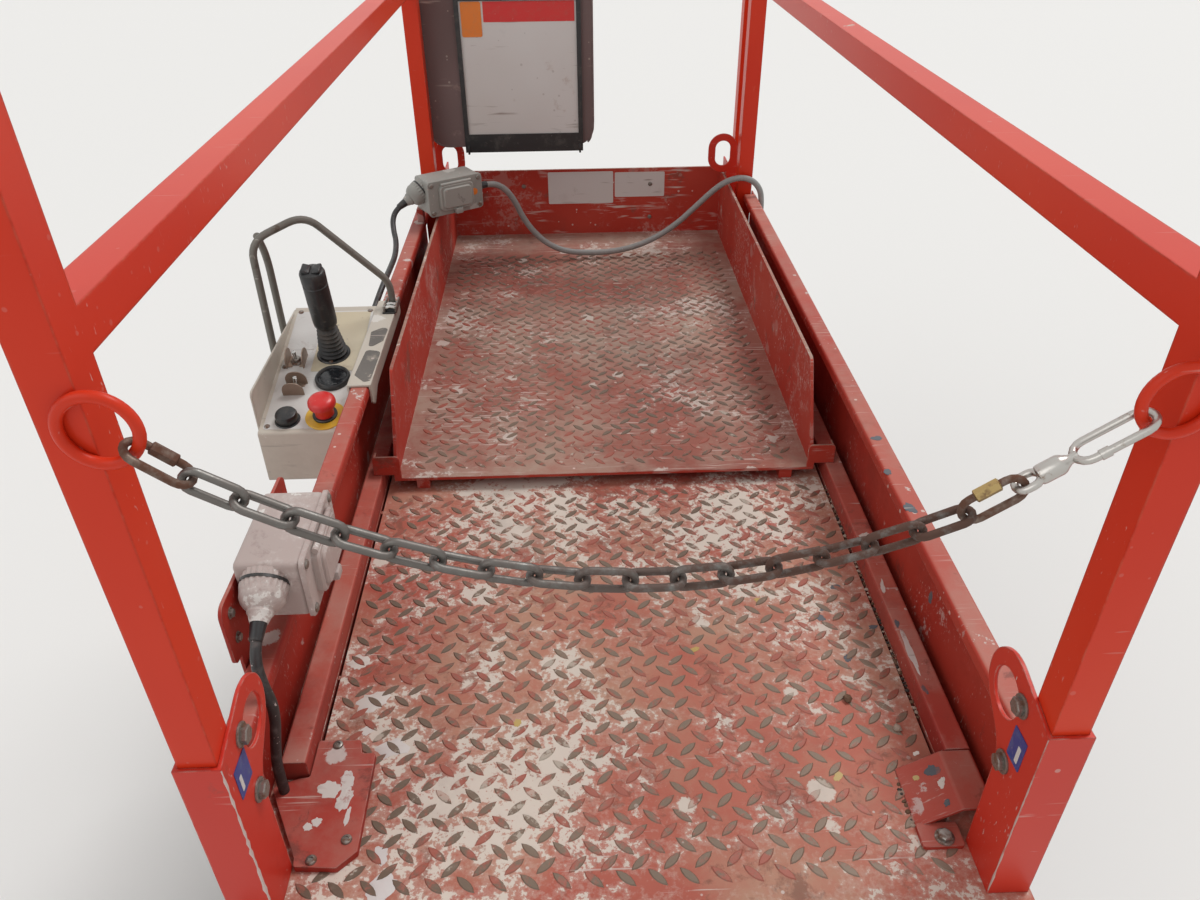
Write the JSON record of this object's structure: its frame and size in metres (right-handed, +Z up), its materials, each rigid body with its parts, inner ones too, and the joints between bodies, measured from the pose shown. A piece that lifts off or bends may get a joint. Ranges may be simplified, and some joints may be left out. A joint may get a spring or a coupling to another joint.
{
  "type": "electric slab scissor lift",
  "caption": "Self-propelled scissor lift with a railed platform, a sliding deck extension, an entry chain and a control box; wheels, steering, stack, trays and guards move.",
  "frame": {"origin": "on the ground, in the middle of the machine's box seen from above, at rest", "axes": "+X to the right seen from the entry end, +Y towards the extension end, +Z up"},
  "size_m": [0.95, 1.806, 2.08],
  "materials": {
    "frame_grey": "satin",
    "ladder_red": "satin",
    "tray_grey": "satin",
    "tyre_black": "matt",
    "hub_grey": "satin",
    "arm_grey": "satin",
    "bare_steel": "bright",
    "rail_orange": "gloss",
    "worn_red": "worn",
    "deck_plate": "worn",
    "chain_steel": "weathered",
    "box_cream": "worn",
    "box_grey": "worn",
    "black_plastic": "matt",
    "bar_grey": "worn",
    "sign_white": "worn",
    "cable_black": "matt",
    "cable_grey": "matt"
  },
  "bodies": {
    "chassis": {"chassis_frame": "frame_grey", "chassis_deck": "frame_grey", "entry_ladder": "ladder_red"},
    "tray_left": {"tray_left": "tray_grey"},
    "pothole_guard_left": {"pothole_guard_left": "frame_grey"},
    "tray_right": {"tray_right": "tray_grey"},
    "pothole_guard_right": {"pothole_guard_right": "frame_grey"},
    "wheel_rear_left": {"tyre_rear_left": "tyre_black", "hub_rear_left": "hub_grey"},
    "wheel_rear_right": {"tyre_rear_right": "tyre_black", "hub_rear_right": "hub_grey"},
    "wheel_front_left": {"tyre_front_left": "tyre_black", "hub_front_left": "hub_grey"},
    "wheel_front_right": {"tyre_front_right": "tyre_black", "hub_front_right": "hub_grey"},
    "knuckle_left": {"knuckle_left": "frame_grey"},
    "knuckle_right": {"knuckle_right": "frame_grey"},
    "tie_rod": {"tie_rod": "frame_grey"},
    "lift_barrel": {"lift_barrel": "arm_grey"},
    "lift_rod": {"lift_rod": "bare_steel"},
    "arms_inner_1": {"arms_inner_1": "arm_grey"},
    "arms_outer_1": {"arms_outer_1": "arm_grey"},
    "arms_inner_2": {"arms_inner_2": "arm_grey"},
    "arms_outer_2": {"arms_outer_2": "arm_grey"},
    "arms_inner_3": {"arms_inner_3": "arm_grey"},
    "arms_outer_3": {"arms_outer_3": "arm_grey"},
    "arms_inner_4": {"arms_inner_4": "arm_grey"},
    "arms_outer_4": {"arms_outer_4": "arm_grey"},
    "platform": {"platform_deck": "deck_plate", "slide_keepers": "worn_red", "toe_boards": "worn_red", "rail_left": "rail_orange", "rail_right": "rail_orange", "near_sockets": "rail_orange", "roller_covers": "worn_red", "chain_rings": "rail_orange", "entry_chain": "chain_steel", "chain_ends": "chain_steel", "control_box": "box_cream", "control_fittings": "black_plastic", "control_guard": "bar_grey", "outlet_bracket": "worn_red", "outlet_box": "box_cream", "junction_box": "box_grey", "cable_outlet": "cable_black", "cable_control": "cable_black", "cable_power": "cable_grey"},
    "extension": {"extension_deck": "deck_plate", "extension_rails": "rail_orange", "extension_sockets": "rail_orange", "document_holder": "black_plastic", "document_sign": "sign_white"}
  },
  "joints": [
    {"name": "wheel_rear_left_spin", "type": "hinge", "parent": "chassis", "child": "wheel_rear_left", "pos_m": [-0.285, -0.649, 0.1615], "axis": [1, 0, 0], "continuous": true},
    {"name": "wheel_rear_right_spin", "type": "hinge", "parent": "chassis", "child": "wheel_rear_right", "pos_m": [0.425, -0.649, 0.1615], "axis": [1, 0, 0], "continuous": true},
    {"name": "steer", "type": "hinge", "parent": "chassis", "child": "knuckle_left", "pos_m": [-0.212, 0.671, 0.35], "axis": [0, 0, 1], "range_deg": [-60, 60]},
    {"name": "steer_right", "type": "hinge", "parent": "chassis", "child": "knuckle_right", "pos_m": [0.352, 0.671, 0.35], "axis": [0, 0, 1], "range_deg": [-60, 60]},
    {"name": "tie_rod_turn", "type": "hinge", "parent": "knuckle_left", "child": "tie_rod", "pos_m": [-0.212, 0.566, 0.343], "axis": [0, 0, 1], "range_deg": [-60, 60]},
    {"name": "wheel_front_left_spin", "type": "hinge", "parent": "knuckle_left", "child": "wheel_front_left", "pos_m": [-0.285, 0.671, 0.1615], "axis": [1, 0, 0], "continuous": true},
    {"name": "wheel_front_right_spin", "type": "hinge", "parent": "knuckle_right", "child": "wheel_front_right", "pos_m": [0.425, 0.671, 0.1615], "axis": [1, 0, 0], "continuous": true},
    {"name": "tray_left_swing", "type": "hinge", "parent": "chassis", "child": "tray_left", "pos_m": [-0.32, -0.437, 0.3], "axis": [0, 0, 1], "range_deg": [0, 90]},
    {"name": "guard_left_drop", "type": "hinge", "parent": "chassis", "child": "pothole_guard_left", "pos_m": [-0.304, 0.011, 0.118], "axis": [0, 1, 0], "range_deg": [0, 90]},
    {"name": "tray_right_swing", "type": "hinge", "parent": "chassis", "child": "tray_right", "pos_m": [0.46, -0.437, 0.3], "axis": [0, 0, -1], "range_deg": [0, 90]},
    {"name": "guard_right_drop", "type": "hinge", "parent": "chassis", "child": "pothole_guard_right", "pos_m": [0.444, 0.011, 0.118], "axis": [0, -1, 0], "range_deg": [0, 90]},
    {"name": "lift", "type": "hinge", "parent": "chassis", "child": "arms_inner_1", "pos_m": [0.07, -0.714, 0.49], "axis": [1, 0, 0], "range_deg": [0, 60]},
    {"name": "outer_1_fold", "type": "hinge", "parent": "arms_inner_1", "child": "arms_outer_1", "pos_m": [0.07, 0.00927, 0.54], "axis": [-1, 0, 0], "range_deg": [0, 120]},
    {"name": "inner_2_fold", "type": "hinge", "parent": "arms_outer_1", "child": "arms_inner_2", "pos_m": [0.07, -0.714, 0.59], "axis": [1, 0, 0], "range_deg": [0, 120]},
    {"name": "outer_2_fold", "type": "hinge", "parent": "arms_inner_2", "child": "arms_outer_2", "pos_m": [0.07, 0.00927, 0.64], "axis": [-1, 0, 0], "range_deg": [0, 120]},
    {"name": "inner_3_fold", "type": "hinge", "parent": "arms_outer_2", "child": "arms_inner_3", "pos_m": [0.07, -0.714, 0.69], "axis": [1, 0, 0], "range_deg": [0, 120]},
    {"name": "outer_3_fold", "type": "hinge", "parent": "arms_inner_3", "child": "arms_outer_3", "pos_m": [0.07, 0.00927, 0.74], "axis": [-1, 0, 0], "range_deg": [0, 120]},
    {"name": "inner_4_fold", "type": "hinge", "parent": "arms_outer_3", "child": "arms_inner_4", "pos_m": [0.07, -0.714, 0.79], "axis": [1, 0, 0], "range_deg": [0, 120]},
    {"name": "outer_4_fold", "type": "hinge", "parent": "arms_inner_4", "child": "arms_outer_4", "pos_m": [0.07, 0.00927, 0.84], "axis": [-1, 0, 0], "range_deg": [0, 120]},
    {"name": "platform_level", "type": "hinge", "parent": "arms_outer_4", "child": "platform", "pos_m": [0.07, -0.714, 0.89], "axis": [1, 0, 0], "range_deg": [0, 60]},
    {"name": "extension_slide", "type": "slide", "parent": "platform", "child": "extension", "axis": [0, 1, 0], "range_m": [0, 0.866]},
    {"name": "barrel_swing", "type": "hinge", "parent": "arms_inner_1", "child": "lift_barrel", "pos_m": [0.07, 0.38476, 0.54591], "axis": [1, 0, 0], "range_deg": [-120.76, 0]},
    {"name": "rod_slide", "type": "slide", "parent": "lift_barrel", "child": "lift_rod", "axis": [0, -0.9841, 0.1775], "range_m": [0, 0.29402]}
  ],
  "couplings": [
    {"joint": "steer_right", "follows": "steer", "ratio": 1},
    {"joint": "tie_rod_turn", "follows": "steer", "ratio": -1},
    {"joint": "outer_1_fold", "follows": "lift", "ratio": 2},
    {"joint": "inner_2_fold", "follows": "lift", "ratio": 2},
    {"joint": "outer_2_fold", "follows": "lift", "ratio": 2},
    {"joint": "inner_3_fold", "follows": "lift", "ratio": 2},
    {"joint": "outer_3_fold", "follows": "lift", "ratio": 2},
    {"joint": "inner_4_fold", "follows": "lift", "ratio": 2},
    {"joint": "outer_4_fold", "follows": "lift", "ratio": 2},
    {"joint": "platform_level", "follows": "lift", "ratio": 1},
    {"joint": "barrel_swing", "follows": "lift", "ratio": -2.0124},
    {"joint": "rod_slide", "follows": "lift", "m_per_rad": 0.28068}
  ]
}
